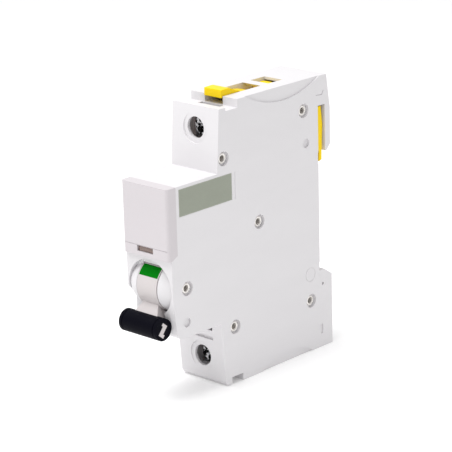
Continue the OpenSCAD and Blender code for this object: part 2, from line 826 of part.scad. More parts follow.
module yoke() {
    color("slategray") difference() {
        union() {
            for (y = [coil_y0 - yoke_t, coil_y1])
                box([-flange_r, flange_r], [y, y + yoke_t], [coil_z - flange_r, yoke_top + 0.9]);
            box([-2.5, 2.5], [coil_y0 - yoke_t, coil_y1 + yoke_t], [yoke_top, yoke_top + 0.9]);
        }
        rod_y(0, [coil_y0 - 3, coil_y0 + over], coil_z, rod_r + gap);
        rod_y(0, [coil_y1 - over, coil_y1 + 3], coil_z, plunger_r - 0.5);
    }
}

// Turns on its pin; the plunger and the bimetal each push its top forwards
module trip_lever() {
    pad_y = rod_y0 - 0.2;
    hook_y = bimetal_y - 0.4;
    color("saddlebrown") difference() {
        union() {
            rod_x([-lever_half, lever_half], lever_y, lever_z, lever_hub_r);
            box([-lever_half, lever_half], [lever_y - 1, lever_y + 1], [lever_z, coil_z + 0.8]);
            box([-lever_half, lever_half], [lever_y, pad_y], [coil_z - 1.9, coil_z + 0.8]);
            box([-lever_half, lever_half], [hook_y - 1.2, lever_y], [coil_z - 1.7, coil_z - 0.4]);
            box([bimetal_x0, lever_half], [hook_y - 1.2, hook_y], [coil_z - 1.7, coil_z + 0.8]);
        }
        rod_x([-half_w, half_w], lever_y, lever_z, lever_pin_r + slip);
    }
}

module bimetal() {
    color("goldenrod") box([bimetal_x0, bimetal_x1], [bimetal_y, bimetal_y + bimetal_t],
                           [bimetal_z0, bimetal_z1]);
}

module bimetal_bracket() {
    color("peru") {
        difference() {
            box([bimetal_x0, bimetal_x1 + 0.6], [bimetal_y, stem_y1], [bracket_z - 1, bracket_z]);
            rod_z(adjust_x, adjust_y, [bracket_z - 2, bracket_z + 1], adjust_r + slip);
        }
        box([bimetal_x0, bimetal_x1], [bimetal_y, bimetal_y + bimetal_t], [bracket_z, bimetal_z0]);
        box([stem_x0, bimetal_x1 + 0.6], [stem_y0, stem_y1], [bar_foot_z - 0.8, bracket_z - 1]);
    }
}

module calibration_screw() {
    color("goldenrod") {
        rod_z(adjust_x, adjust_y, [bracket_z - 1.1, bracket_z + 1.6], adjust_r);
        rod_z(adjust_x, adjust_y, [bracket_z - 1.4, bracket_z - 1.1], 1.3);
    }
}

// Slack copper braid from the bimetal to the moving contact
module flexible_braid() {
    p = [[-4.6, bimetal_y + bimetal_t + 0.55, -0.6], [-4.4, -45.2, -2], [-4.1, -43.5, -2.9],
         [-3.95, -41.8, -2.9], [-3.9, -40.3, -2]];
    color("peru") {
        for (i = [0:len(p) - 2]) wire(p[i], p[i + 1], 0.5);
        for (i = [1:len(p) - 2]) bend(p[i], 0.5);
    }
}

// ---- Arc chute ----

module arc_plates() {
    low = -cavity_top + 1;
    h = chute_half;
    color("lightslategray") for (i = [0:plate_count - 1])
        translate([0, 0, low + i * plate_pitch]) linear_extrude(plate_t)
            polygon([[-h, chute_y0], [-0.55 * h, chute_y0], [0, chute_y0 + 7], [0.55 * h, chute_y0],
                     [h, chute_y0], [h, chute_y1], [-h, chute_y1]]);
}

module arc_chute_sides() {
    low = -cavity_top + 0.3;
    height = plate_count * plate_pitch + 0.2;
    color("tan") for (s = [0, 1]) mirror([s, 0, 0])
        box([chute_half + slip, in_half - 0.8], [chute_y0 - 1, chute_y1 + 1], [low, low + height]);
}

module arc_runner() {
    color("peru") box([-3, 3], [strap_y + 0.6, strap_y + 0.6 + strap_t],
                      [-terminal_z + screw_r + gap + seat, strap_z0 - gap]);
}

// ---- Terminals, drawn for the upper one ----

module terminal_bar() {
    difference() {
        box([-bar_half, bar_half], [bar_y, bar_y + bar_t], [bar_tongue_z, room_z1 - 0.3]);
        rod_y(0, [bar_y - over, bar_y + bar_t + over], terminal_z, screw_r + slip);
    }
}

module clamp_plate() {
    difference() {
        box([-clamp_half, clamp_half], [plate_y, plate_y + plate_thick],
            [terminal_z - clamp_half, room_z1 - 0.4]);
        rod_y(0, [plate_y - over, plate_y + plate_thick + over], terminal_z, screw_r + slip);
    }
}

module terminal_screw() {
    difference() {
        union() {
            rod_y(0, [head_y, head_y + head_t], terminal_z, screw_head_r);
            rod_y(0, [head_y + head_t, bar_y + bar_t - 0.6], terminal_z, screw_r);
        }
        for (a = [0, 90]) translate([0, head_y, terminal_z]) rotate([0, a, 0])
            box([-2, 2], [-over, 0.9], [-0.4, 0.4]);
    }
}

module upper_terminal_bar() {
    color("peru") {
        terminal_bar();
        box([-2.5, 2.5], [bar_y + bar_t, coil_y1 - 3], [bar_tongue_z, bar_tongue_z + 0.8]);
        box([-2.5, 6], [coil_y1 - 3.6, coil_y1 - 0.6], [bar_tongue_z, bar_tongue_z + 0.8]);
    }
}

module lower_terminal_bar() {
    color("peru") {
        mirror([0, 0, 1]) terminal_bar();
        box([stem_x0, bimetal_x1 + 0.6], [stem_y1, bar_y], [bar_foot_z - 0.8, bar_foot_z]);
        box([stem_x0, -bar_half], [bar_y, bar_y + bar_t], [bar_foot_z - 0.8, bar_foot_z]);
    }
}

module upper_clamp_plate() {
    color("silver") clamp_plate();
}

module lower_clamp_plate() {
    color("silver") mirror([0, 0, 1]) clamp_plate();
}

module upper_terminal_screw() {
    color("dimgray") terminal_screw();
}

module lower_terminal_screw() {
    color("dimgray") mirror([0, 0, 1]) terminal_screw();
}

// ---- Rail clips ----

module upper_clip() {
    tab = notch_back - 0.5;
    color("gold") {
        slab_x(-clip_half, clip_half) polygon([
            [tab, top - 0.5], [tab + 0.1, top + 1.8], [tab + 3.5, top + 1.9], [tab + 5, top + 1.2],
            [tab + 10, top - 0.7], [tab + 14.3, top - 1.3], [tab + 14.6, arm_top],
            [tab + 20.6, arm_top], [tab + 20.8, top - 1.1], [tab + 25.4, top - 1.1],
            [tab + 25.6, arm_top], [leg_y1, arm_top], [leg_y1, side_slot_top - 0.7],
            [leg_y0, side_slot_top - 0.7], [leg_y0, arm_z], [tab + 11, arm_z], [tab + 8.5, top - 2.3],
            [tab + 4.5, top - 0.9], [tab + 2, top - 0.6]]);
        slab_x(-leg_half, leg_half) polygon([
            [leg_y0, side_slot_top - 0.5], [leg_y0, recess_top + 0.2], [hook_y0, recess_top + 0.2],
            [hook_y0, rail_h / 2 - hook_grip], [hook_y1, rail_h / 2 - hook_grip + 0.4],
            [hook_y1, recess_top + 0.2], [hook_y1 + 0.1, recess_top + 0.4], [leg_y1 + 0.1, side_slot_top - 6],
            [leg_y1 - 0.6, side_slot_top - 0.5]]);
    }
}

module lower_clip() {
    tab = notch_back + 0.5;
    grip = rail_h / 2 - hook_grip - lower_reach;
    color("gold") mirror([0, 0, 1]) {
        slab_x(-clip_half, clip_half) polygon([
            [tab, arm_z + 1.8], [tab, top - 0.2], [tab + 2.5, top - 0.2], [tab + 4, arm_top + 0.6],
            [tab + 5.5, arm_top], [leg_y1, arm_top], [leg_y1, arm_z], [tab + 4.5, arm_z],
            [tab + 2.5, arm_z + 1.8]]);
        slab_x(-lower_leg_half, lower_leg_half) polygon([
            [leg_y0, arm_top], [leg_y0, -recess_low + 0.3], [hook_y0, -recess_low],
            [hook_y0, grip], [hook_y1, grip + 0.4],
            [hook_y1, arm_top]]);
    }
}

left_case();
right_case();
nose_cap();
case_rivets();
trip_window();
trip_flag();
side_label();
toggle_drum();
toggle_grip();
position_flag();
toggle_spring();
drive_link();
contact_carrier();
moving_contact();
moving_contact_tip();
pivot_pins();
contact_spring();
fixed_contact();
fixed_contact_tip();
coil();
coil_bobbin();
plunger();
plunger_spring();
pole_piece();
yoke();
trip_lever();
bimetal();
bimetal_bracket();
calibration_screw();
flexible_braid();
arc_plates();
arc_chute_sides();
arc_runner();
upper_terminal_bar();
lower_terminal_bar();
upper_clamp_plate();
lower_clamp_plate();
upper_terminal_screw();
lower_terminal_screw();
upper_clip();
lower_clip();
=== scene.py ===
"""Looks of a one-pole modular circuit breaker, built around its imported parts.

Every length below is in millimetres until the Surface class writes it into a mesh in metres.
"""
import logging
import math
from dataclasses import dataclass
from enum import Enum
from typing import Callable, Iterable, Optional, Sequence, Union

import bmesh
import bpy
import numpy as np
from mathutils import Matrix, Vector


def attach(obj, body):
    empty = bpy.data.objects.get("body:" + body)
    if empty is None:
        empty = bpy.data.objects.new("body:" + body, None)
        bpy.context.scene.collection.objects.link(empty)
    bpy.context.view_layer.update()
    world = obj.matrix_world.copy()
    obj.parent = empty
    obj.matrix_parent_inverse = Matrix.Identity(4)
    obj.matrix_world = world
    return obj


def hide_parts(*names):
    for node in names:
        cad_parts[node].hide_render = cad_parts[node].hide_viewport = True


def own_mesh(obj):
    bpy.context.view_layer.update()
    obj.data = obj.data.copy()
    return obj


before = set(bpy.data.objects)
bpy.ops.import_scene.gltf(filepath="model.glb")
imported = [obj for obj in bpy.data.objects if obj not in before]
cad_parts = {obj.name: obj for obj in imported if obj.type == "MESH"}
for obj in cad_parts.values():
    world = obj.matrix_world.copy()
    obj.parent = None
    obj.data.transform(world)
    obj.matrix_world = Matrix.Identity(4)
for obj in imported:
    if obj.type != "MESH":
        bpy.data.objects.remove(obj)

LOG = logging.getLogger("breaker")
MM = 0.001
JOIN = 1e-6
Array = np.ndarray
Number = Union[int, float]
Colour = tuple[float, float, float]


# ---------------------------------------------------------------- shader maths


class Expr:
    """A shader socket that Python operators turn into Math nodes."""

    def __init__(self, graph: "Graph", socket: bpy.types.NodeSocket) -> None:
        """Keeps the graph that makes the nodes and the output socket that holds the value."""
        self.graph = graph
        self.socket = socket

    def _math(self, operation: str, *values: Union["Expr", Number]) -> "Expr":
        """Adds one Math node.

        Args:
            operation: the Math node's operation.
            values: its inputs in order, each an expression or a number.

        Returns:
            The node's value as an expression.
        """
        return self.graph.node("ShaderNodeMath", {"operation": operation}, dict(enumerate(values)))

    def __add__(self, other: Union["Expr", Number]) -> "Expr":
        """The sum of two values."""
        return self._math("ADD", self, other)

    __radd__ = __add__

    def __sub__(self, other: Union["Expr", Number]) -> "Expr":
        """This value less the other."""
        return self._math("SUBTRACT", self, other)

    def __rsub__(self, other: Number) -> "Expr":
        """The number less this value."""
        return self._math("SUBTRACT", other, self)

    def __mul__(self, other: Union["Expr", Number]) -> "Expr":
        """The product of two values."""
        return self._math("MULTIPLY", self, other)

    def power(self, exponent: Number) -> "Expr":
        """This value raised to an exponent."""
        return self._math("POWER", self, exponent)

    def magnitude(self) -> "Expr":
        """This value without its sign."""
        return self._math("ABSOLUTE", self)

    def wave(self) -> "Expr":
        """The sine of this value."""
        return self._math("SINE", self)

    def band(self, low: Number, high: Number) -> "Expr":
        """Runs smoothly from 0 where this value is low to 1 where it is high."""
        return self.graph.node("ShaderNodeMapRange", {"interpolation_type": "SMOOTHSTEP", "clamp": True},
                               {0: self, 1: low, 2: high, 3: 0.0, 4: 1.0})


class Graph:
    """The node tree of one material around its Principled shader."""

    def __init__(self, name: str) -> None:
        """Starts a material that has only its shader and its output."""
        self.material = bpy.data.materials.new(name)
        self.material.use_nodes = True
        self.tree = self.material.node_tree
        self.tree.nodes.clear()
        self.shader = self.tree.nodes.new("ShaderNodeBsdfPrincipled")
        output = self.tree.nodes.new("ShaderNodeOutputMaterial")
        self.tree.links.new(self.shader.outputs["BSDF"], output.inputs["Surface"])
        self.coordinates = self.tree.nodes.new("ShaderNodeTexCoord")

    def _feed(self, socket: bpy.types.NodeSocket, value: object) -> None:
        """Links an expression to a socket, or sets a number or colour on it."""
        if isinstance(value, Expr):
            self.tree.links.new(value.socket, socket)
        elif isinstance(value, (tuple, list)) and len(value) == 3 and socket.type == "RGBA":
            socket.default_value = (*value, 1.0)
        else:
            socket.default_value = value

    def node(self, kind: str, settings: dict, inputs: dict, output: Union[int, str] = 0) -> Expr:
        """Adds one node.

        Args:
            kind: the node's type.
            settings: attributes that are set before the sockets.
            inputs: values, colours or expressions by socket name or number.
            output: the output that is wanted.

        Returns:
            That output as an expression.
        """
        made = self.tree.nodes.new(kind)
        for key, value in settings.items():
            setattr(made, key, value)
        for key, value in inputs.items():
            self._feed(made.inputs[key], value)
        return Expr(self, made.outputs[output])

    def place(self, scale: Sequence[float] = (1, 1, 1)) -> Expr:
        """Object coordinates in millimetres, scaled along each axis."""
        whole = [s / MM for s in scale]
        return self.node("ShaderNodeMapping", {"vector_type": "POINT"},
                         {"Vector": Expr(self, self.coordinates.outputs["Object"]), "Scale": whole})

    def axes(self, vector: Expr) -> tuple[Expr, Expr, Expr]:
        """The three parts of a vector."""
        split = self.tree.nodes.new("ShaderNodeSeparateXYZ")
        self.tree.links.new(vector.socket, split.inputs[0])
        return tuple(Expr(self, out) for out in split.outputs)

    def noise(self, vector: Expr, size: float, detail: float = 2.0, rough: float = 0.5) -> Expr:
        """Noise from 0 to 1 whose lumps are about size millimetres across."""
        return self.node("ShaderNodeTexNoise", {"noise_dimensions": "3D"},
                         {"Vector": vector, "Scale": 1.0 / size, "Detail": detail, "Roughness": rough}, "Fac")

    def cells(self, vector: Expr, size: float) -> Expr:
        """Distance to the nearest of scattered points that are about size millimetres apart."""
        return self.node("ShaderNodeTexVoronoi", {"feature": "F1"},
                         {"Vector": vector, "Scale": 1.0 / size}, "Distance")

    def mix(self, factor: Union[Expr, float], low: Union[Expr, Colour], high: Union[Expr, Colour]) -> Expr:
        """A colour between low and high."""
        made = self.tree.nodes.new("ShaderNodeMix")
        made.data_type = "RGBA"
        self._feed(made.inputs["Factor"], factor)
        self._feed(made.inputs[6], low)
        self._feed(made.inputs[7], high)
        return Expr(self, made.outputs[2])

    def bump(self, height: Expr, depth: float) -> Expr:
        """A normal from a height of 0 to 1 that stands for depth millimetres."""
        return self.node("ShaderNodeBump", {}, {"Height": height, "Distance": depth * MM, "Strength": 1.0})

    def set(self, **sockets: object) -> None:
        """Feeds the shader's sockets; a name's underscores stand for spaces."""
        for key, value in sockets.items():
            self._feed(self.shader.inputs[key.replace("_", " ")], value)


def shade(colour: Colour, factor: float) -> Colour:
    """A colour made lighter or darker by a factor."""
    return tuple(min(1.0, c * factor) for c in colour)


# ---------------------------------------------------------------- finishes


@dataclass(frozen=True)
class Moulded:
    """Moulded plastic with a spark-eroded grain, faint flow marks and a slightly uneven gloss."""

    name: str
    colour: Colour
    rough: float = 0.42
    grain: float = 0.16
    grain_depth: float = 0.006
    mottle: float = 0.03
    specular: float = 0.3
    glow: float = 0.0
    glow_reach: Colour = (0.6, 0.5, 0.4)
    glow_depth: float = 0.8
    flow_size: float = 7.0
    flow_stretch: tuple[float, float, float] = (0.25, 0.25, 1.0)
    speck_gap: float = 1.7
    speck_tone: float = 0.86
    speck_share: float = 0.25
    grain_gloss: float = 0.14
    flow_gloss: float = 0.1

    def make(self) -> bpy.types.Material:
        """Builds the material."""
        g = Graph(self.name)
        where = g.place()
        fine = g.noise(where, self.grain, 3.0, 0.6)
        flow = g.noise(g.place(self.flow_stretch), self.flow_size, 3.0, 0.55)
        specks = g.cells(where, self.speck_gap).band(0.05, 0.12)
        tone = g.mix(flow, shade(self.colour, 1 - self.mottle), shade(self.colour, 1 + self.mottle))
        tone = g.mix((1 - specks) * self.speck_share, tone, shade(self.colour, self.speck_tone))
        gloss = self.rough + (fine - 0.5) * self.grain_gloss + (flow - 0.5) * self.flow_gloss
        g.set(Base_Color=tone, Roughness=gloss, Specular_IOR_Level=self.specular,
              Normal=g.bump(fine * 0.7 + flow * 0.3, self.grain_depth))
        if self.glow:
            g.set(Subsurface_Weight=self.glow, Subsurface_Radius=self.glow_reach,
                  Subsurface_Scale=self.glow_depth * MM)
        return g.material


@dataclass(frozen=True)
class Worked:
    """Worked metal with drawn or rolled streaks, a little tarnish and fine scratches."""

    name: str
    colour: Colour
    rough: float = 0.34
    streak: tuple[float, float, float] = (1.0, 1.0, 0.08)
    tarnish: Colour = (0.25, 0.23, 0.2)
    worn: float = 0.3
    streak_size: float = 0.12
    streak_tone: float = 0.86
    streak_gloss: float = 0.16
    cloud_size: float = 2.2
    dulling: float = 0.4
    depth: float = 0.006

    def make(self) -> bpy.types.Material:
        """Builds the material."""
        g = Graph(self.name)
        lines = g.noise(g.place(self.streak), self.streak_size, 4.0, 0.65)
        cloud = g.noise(g.place(), self.cloud_size, 4.0, 0.6)
        dull = cloud.band(0.45, 0.75) * self.worn
        bare = g.mix(lines, shade(self.colour, self.streak_tone), self.colour)
        g.set(Base_Color=g.mix(dull, bare, self.tarnish), Metallic=1.0 - dull * self.dulling,
              Roughness=self.rough + lines * self.streak_gloss + dull * self.dulling,
              Normal=g.bump(lines * 0.6 + cloud * 0.4, self.depth))
        return g.material


@dataclass(frozen=True)
class Turned:
    """A screw's zinc-plated steel: nearly black over most of it, with painted glints (patches of near-white,
    mostly not metallic colour that stand in for highlights), and turning rings.
    """

    name: str
    colour: Colour
    axis_z: float
    rough: float = 0.3
    ring_rate: float = 42.0
    # Size of the painted glint patches, and the tone that darkens the rest of the screw nearly to black.
    glint_patch_size: float = 1.3
    dark_tone: float = 0.015
    depth: float = 0.03

    def make(self) -> bpy.types.Material:
        """Builds the material; the rings follow the distance from the axis at height axis_z, above and below."""
        g = Graph(self.name)
        x, _, z = g.axes(g.place())
        rise = z.magnitude() - self.axis_z
        away = (x * x + rise * rise).power(0.5)
        rings = (away * self.ring_rate).wave() * 0.5 + 0.5
        # Painted glints: where this noise is high the colour is near-white and mostly not metallic, standing in
        # for highlights; elsewhere the screw is nearly black.
        glint_noise = g.noise(g.place(), self.glint_patch_size, 3.0, 0.5)
        painted_glint = glint_noise.band(0.5, 0.56)
        g.set(Base_Color=g.mix(painted_glint, shade(self.colour, self.dark_tone), self.colour),
              Metallic=0.85 - painted_glint * 0.8, Roughness=self.rough + (1 - painted_glint) * 0.2 + rings * 0.06,
              Normal=g.bump(rings * 0.3 + glint_noise * 0.7, self.depth))
        return g.material


@dataclass(frozen=True)
class Printed:
    """A matt printed plate: an even ink over a fine screen, thinner along its edges."""

    name: str
    colour: Colour
    y_edges: tuple[float, float]
    z_edges: tuple[float, float]
    screen_size: float = 0.22
    rub_size: float = 2.6
    thin_tone: float = 1.25
    margin: tuple[float, float] = (0.05, 0.3)

    def make(self) -> bpy.types.Material:
        """Builds the material; the ink's edge is the smaller distance to the four edges of the plate."""
        g = Graph(self.name)
        _, y, z = g.axes(g.place())
        screen = g.cells(g.place(), self.screen_size).band(0.15, 0.75)
        rub = g.noise(g.place((1, 0.4, 1)), self.rub_size, 4.0, 0.6)
        inside = ((y - self.y_edges[0]).band(*self.margin) * (self.y_edges[1] - y).band(*self.margin)
                  * (z - self.z_edges[0]).band(*self.margin) * (self.z_edges[1] - z).band(*self.margin))
        ink = g.mix(rub, shade(self.colour, 0.94), shade(self.colour, 1.06))
        ink = g.mix(screen * 0.12, ink, shade(self.colour, 1.2))
        g.set(Base_Color=g.mix(inside, shade(self.colour, self.thin_tone), ink), Roughness=0.62 - rub * 0.12,
              Specular_IOR_Level=0.3, Normal=g.bump(screen, 0.003))
        return g.material


@dataclass(frozen=True)
class Smoked:
    """A smoked clear lens with faint moulding swirls."""

    name: str
    colour: Colour

    def make(self) -> bpy.types.Material:
        """Builds the material."""
        g = Graph(self.name)
        swirl = g.noise(g.place((0.4, 1, 1)), 1.1, 3.0, 0.5)
        g.set(Base_Color=g.mix(swirl, shade(self.colour, 0.85), shade(self.colour, 1.15)),
              Roughness=0.12 + swirl * 0.1, Coat_Weight=0.5, Coat_Roughness=0.06, Alpha=0.9 - swirl * 0.1,
              Normal=g.bump(swirl, 0.01))
        return g.material


@dataclass(frozen=True)
class Paper:
    """The pale floor: a faint paper tooth on an almost white sheet, lit a little from below."""

    name: str
    colour: Colour
    lift: float = 0.1

    def make(self) -> bpy.types.Material:
        """Builds the material."""
        g = Graph(self.name)
        tooth = g.noise(g.place(), 3.0, 3.0, 0.5)
        g.set(Base_Color=g.mix(tooth, self.colour, shade(self.colour, 1.01)), Roughness=0.9,
              Specular_IOR_Level=0.1, Emission_Color=(1.0, 1.0, 1.0), Emission_Strength=self.lift)
        return g.material


class Slot(Enum):
    """The record's material slots."""

    CASE = "case_white"
    CAP = "cap_white"
    TOGGLE = "toggle_white"
    GRIP = "grip_black"
    GREEN = "flag_green"
    RED = "flag_red"
    SMOKE = "window_smoke"
    LABEL = "label_grey"
    CLIP = "clip_yellow"
    RIVET = "rivet_steel"
    SCREW = "screw_steel"
    PIN = "pin_steel"
    SPRING = "spring_steel"
    COPPER = "copper"
    WINDING = "winding_copper"
    SILVER = "silver_contact"
    BIMETAL = "bimetal_strip"
    IRON = "iron"
    YOKE = "yoke_steel"
    PLATE = "plate_steel"
    FIBRE = "fibre"
    BOBBIN = "bobbin_ivory"
    MECHANISM = "mechanism_grey"
    LEVER = "lever_brown"


FINISHES = {
    Slot.CASE: Moulded("case polyamide", (0.72, 0.705, 0.72), 0.44),
    Slot.CAP: Moulded("cap polyamide", (0.61, 0.575, 0.595), 0.4),
    Slot.TOGGLE: Moulded("toggle polyamide", (0.60, 0.56, 0.56), 0.38, mottle=0.02),
    Slot.GRIP: Moulded("grip black", (0.0035, 0.0035, 0.007), 0.5, grain_depth=0.004, mottle=0.15,
                       specular=0.03),
    Slot.GREEN: Moulded("flag green", (0.0, 0.175, 0.004), 0.45, grain_depth=0.003, specular=0.03),
    Slot.RED: Moulded("flag red", (0.6, 0.02, 0.015), 0.42, grain_depth=0.003),
    Slot.SMOKE: Smoked("window smoke", (0.21, 0.14, 0.12)),
    Slot.LABEL: Printed("side plate print", (0.295, 0.315, 0.26), (-59.7, -38.1), (13.6, 21.5)),
    Slot.CLIP: Moulded("clip yellow", (0.95, 0.67, 0.006), 0.4, mottle=0.04, specular=0.16, glow=0.12),
    Slot.RIVET: Worked("rivet nickel", (0.95, 0.92, 0.89), 0.45, (1, 1, 1), (0.4, 0.38, 0.35), worn=0.4),
    # The screw colour is the near-white of the painted glints; the rest of the screw is this colour darkened
    # nearly to black.
    Slot.SCREW: Turned("screw zinc", (0.9, 0.9, 0.92), 34.5, 0.16),
    Slot.PIN: Worked("pin steel", (0.6, 0.6, 0.62), 0.24, (0.08, 1, 1)),
    Slot.SPRING: Worked("spring wire", (0.55, 0.55, 0.57), 0.28, (1, 1, 1)),
    Slot.COPPER: Worked("rolled copper", (0.78, 0.36, 0.2), 0.32, (1, 1, 0.08), (0.3, 0.12, 0.07)),
    Slot.WINDING: Worked("enamelled winding", (0.7, 0.28, 0.12), 0.24, (1, 0.3, 1), (0.34, 0.12, 0.05)),
    Slot.SILVER: Worked("contact silver", (0.86, 0.85, 0.82), 0.3, (1, 1, 1)),
    Slot.BIMETAL: Worked("bimetal strip", (0.66, 0.6, 0.48), 0.3, (1, 1, 0.06)),
    Slot.IRON: Worked("soft iron", (0.36, 0.35, 0.34), 0.42, (1, 1, 1), worn=0.5),
    Slot.YOKE: Worked("yoke steel", (0.5, 0.5, 0.5), 0.36, (1, 0.08, 1)),
    Slot.PLATE: Worked("arc plate steel", (0.4, 0.42, 0.44), 0.4, (0.08, 1, 1)),
    Slot.FIBRE: Moulded("vulcanised fibre", (0.46, 0.3, 0.16), 0.7, grain_depth=0.012, mottle=0.12),
    Slot.BOBBIN: Moulded("bobbin ivory", (0.72, 0.66, 0.5), 0.45),
    Slot.MECHANISM: Moulded("mechanism grey", (0.12, 0.12, 0.13), 0.45),
    Slot.LEVER: Moulded("lever brown", (0.16, 0.07, 0.035), 0.45),
}


class Finishes:
    """Hands out each finish once, so that pieces of one slot share a material."""

    def __init__(self) -> None:
        """Starts with nothing made."""
        self._made: dict[Slot, bpy.types.Material] = {}

    def of(self, slot: Slot) -> bpy.types.Material:
        """The material of a slot."""
        if slot not in self._made:
            self._made[slot] = FINISHES[slot].make()
        return self._made[slot]


FINISH = Finishes()


# ---------------------------------------------------------------- surfaces


class Surface:
    """Points and faces of a mesh in millimetres, gathered from grids."""

    def __init__(self) -> None:
        """Starts empty."""
        self.points: list[Array] = []
        self.faces: list[list[int]] = []
        self.count = 0

    def grid(self, points: Array, wrap_u: bool = False, wrap_v: bool = False, flip: bool = False) -> None:
        """Adds a grid of points as quads.

        Args:
            points: places of shape (rows, columns, 3).
            wrap_u: joins the last row to the first.
            wrap_v: joins the last column to the first.
            flip: turns the faces over.
        """
        rows, columns = points.shape[:2]
        index = np.arange(rows * columns).reshape(rows, columns) + self.count
        if wrap_u:
            index = np.vstack([index, index[:1]])
        if wrap_v:
            index = np.hstack([index, index[:, :1]])
        quads = np.stack([index[:-1, :-1], index[:-1, 1:], index[1:, 1:], index[1:, :-1]], axis=-1)
        quads = quads.reshape(-1, 4)
        self.faces.extend((quads[:, ::-1] if flip else quads).tolist())
        self.points.append(points.reshape(-1, 3))
        self.count += rows * columns

    def disc(self, ring: Array, flip: bool = False) -> None:
        """Closes a ring of points with one face."""
        index = list(range(self.count, self.count + len(ring)))
        self.faces.append(index[::-1] if flip else index)
        self.points.append(ring)
        self.count += len(ring)

    def tube(self, path: Array, radius: float, sides: int = 12) -> None:
        """Adds a round bar along a path, with closed ends.

        The section at each point is radius * (cos a, sin a) in a frame carried along the path without twist.

        Args:
            path: points of shape (n, 3).
            radius: the bar's radius.
            sides: points around the bar.
        """
        step = np.gradient(path, axis=0)
        along = step / np.linalg.norm(step, axis=1, keepdims=True)
        side = np.zeros_like(path)
        first = np.cross(along[0], (0.0, 0.0, 1.0) if abs(along[0][2]) < 0.9 else (1.0, 0.0, 0.0))
        side[0] = first / np.linalg.norm(first)
        for k in range(1, len(path)):
            carried = side[k - 1] - along[k] * (side[k - 1] @ along[k])
            side[k] = carried / np.linalg.norm(carried)
        up = np.cross(along, side)
        turn = np.linspace(0, 2 * np.pi, sides, endpoint=False)
        ring = np.cos(turn)[None, :, None] * side[:, None] + np.sin(turn)[None, :, None] * up[:, None]
        body = path[:, None] + radius * ring
        self.grid(body, wrap_v=True)
        self.disc(body[0])
        self.disc(body[-1], flip=True)

    def lathe(self, profile: Array, centre: Sequence[float], axis: int, sides: int = 64,
              closed: bool = False) -> None:
        """Turns a profile of (place along the axis, radius) around an axis through centre.

        Args:
            profile: points of shape (n, 2).
            centre: a point on the axis; its own coordinate on the axis is added to the profile's.
            axis: 0 for the width, 1 for the depth, 2 for the height.
            sides: points around.
            closed: the profile is a loop.
        """
        turn = np.linspace(0, 2 * np.pi, sides, endpoint=False)
        points = np.zeros((len(profile), sides, 3))
        points[..., axis] = profile[:, 0, None]
        points[..., (axis + 1) % 3] = profile[:, 1, None] * np.cos(turn)
        points[..., (axis + 2) % 3] = profile[:, 1, None] * np.sin(turn)
        self.grid(points + np.asarray(centre, float), wrap_u=closed, wrap_v=True)

    def mesh(self, name: str) -> bpy.types.Mesh:
        """Writes the mesh in metres, joins its doubles and turns its faces outwards."""
        made = bpy.data.meshes.new(name)
        made.from_pydata((np.concatenate(self.points) * MM).tolist(), [], self.faces)
        work = bmesh.new()
        work.from_mesh(made)
        bmesh.ops.remove_doubles(work, verts=work.verts, dist=JOIN)
        bmesh.ops.recalc_face_normals(work, faces=work.faces)
        work.to_mesh(made)
        work.free()
        made.polygons.foreach_set("use_smooth", np.ones(len(made.polygons), bool))
        made.update()
        return made


def helix(centre: Sequence[float], axis: int, radius: float, start: float, end: float, first: float,
          turns: float, per_turn: int = 28) -> Array:
    """A helix: radius * (cos a, sin a) in the plane across the axis while the place along it grows evenly.

    Args:
        centre: a point on the axis.
        axis: 0 for the width, 1 for the depth.
        radius: the helix's mean radius.
        start: place along the axis where it begins.
        end: place along the axis where it ends.
        first: angle at the start, in degrees.
        turns: number of turns, negative to turn the other way.
        per_turn: points for each turn.

    Returns:
        The points, of shape (n, 3).
    """
    share = np.linspace(0, 1, int(abs(turns) * per_turn) + 1)
    angle = np.radians(first) + 2 * np.pi * turns * share
    path = np.tile(np.asarray(centre, float), (len(share), 1))
    path[:, axis] = start + (end - start) * share
    path[:, (axis + 1) % 3] += radius * np.cos(angle)
    path[:, (axis + 2) % 3] += radius * np.sin(angle)
    return path


def rounded(points: Sequence[Sequence[float]], radius: float, steps: int = 8) -> Array:
    """A path through corner points, each rounded by a quadratic curve that starts radius before it."""
    p = np.asarray(points, float)
    out = [p[:1]]
    t = np.linspace(0, 1, steps)[:, None]
    for before, corner, after in zip(p[:-2], p[1:-1], p[2:]):
        a = corner + (before - corner) / np.linalg.norm(before - corner) * radius
        b = corner + (after - corner) / np.linalg.norm(after - corner) * radius
        out.append((1 - t) ** 2 * a + 2 * t * (1 - t) * corner + t ** 2 * b)
    out.append(p[-1:])
    return np.vstack(out)


# ---------------------------------------------------------------- pieces


def dress(obj: bpy.types.Object, slot: Slot) -> None:
    """Gives an object the finish of its slot."""
    if not obj.material_slots:
        obj.data.materials.append(None)
    for entry in obj.material_slots:
        entry.link = "OBJECT"
        entry.material = FINISH.of(slot)


def add_piece(name: str, mesh: bpy.types.Mesh, body: str, slot: Slot,
              nodes: Iterable[str] = ()) -> bpy.types.Object:
    """Puts a finished mesh into the model.

    Args:
        name: the piece's name.
        mesh: its mesh, in metres and in place.
        body: the body that it moves with.
        slot: its material slot.
        nodes: the CAD nodes that it stands for.

    Returns:
        The new object.
    """
    mesh.materials.clear()
    mesh.materials.append(FINISH.of(slot))
    obj = bpy.data.objects.new(name, mesh)
    bpy.context.scene.collection.objects.link(obj)
    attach(obj, body)
    if nodes:
        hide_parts(*nodes)
    LOG.info("%s: %d faces on %s", name, len(mesh.polygons), body)
    return obj


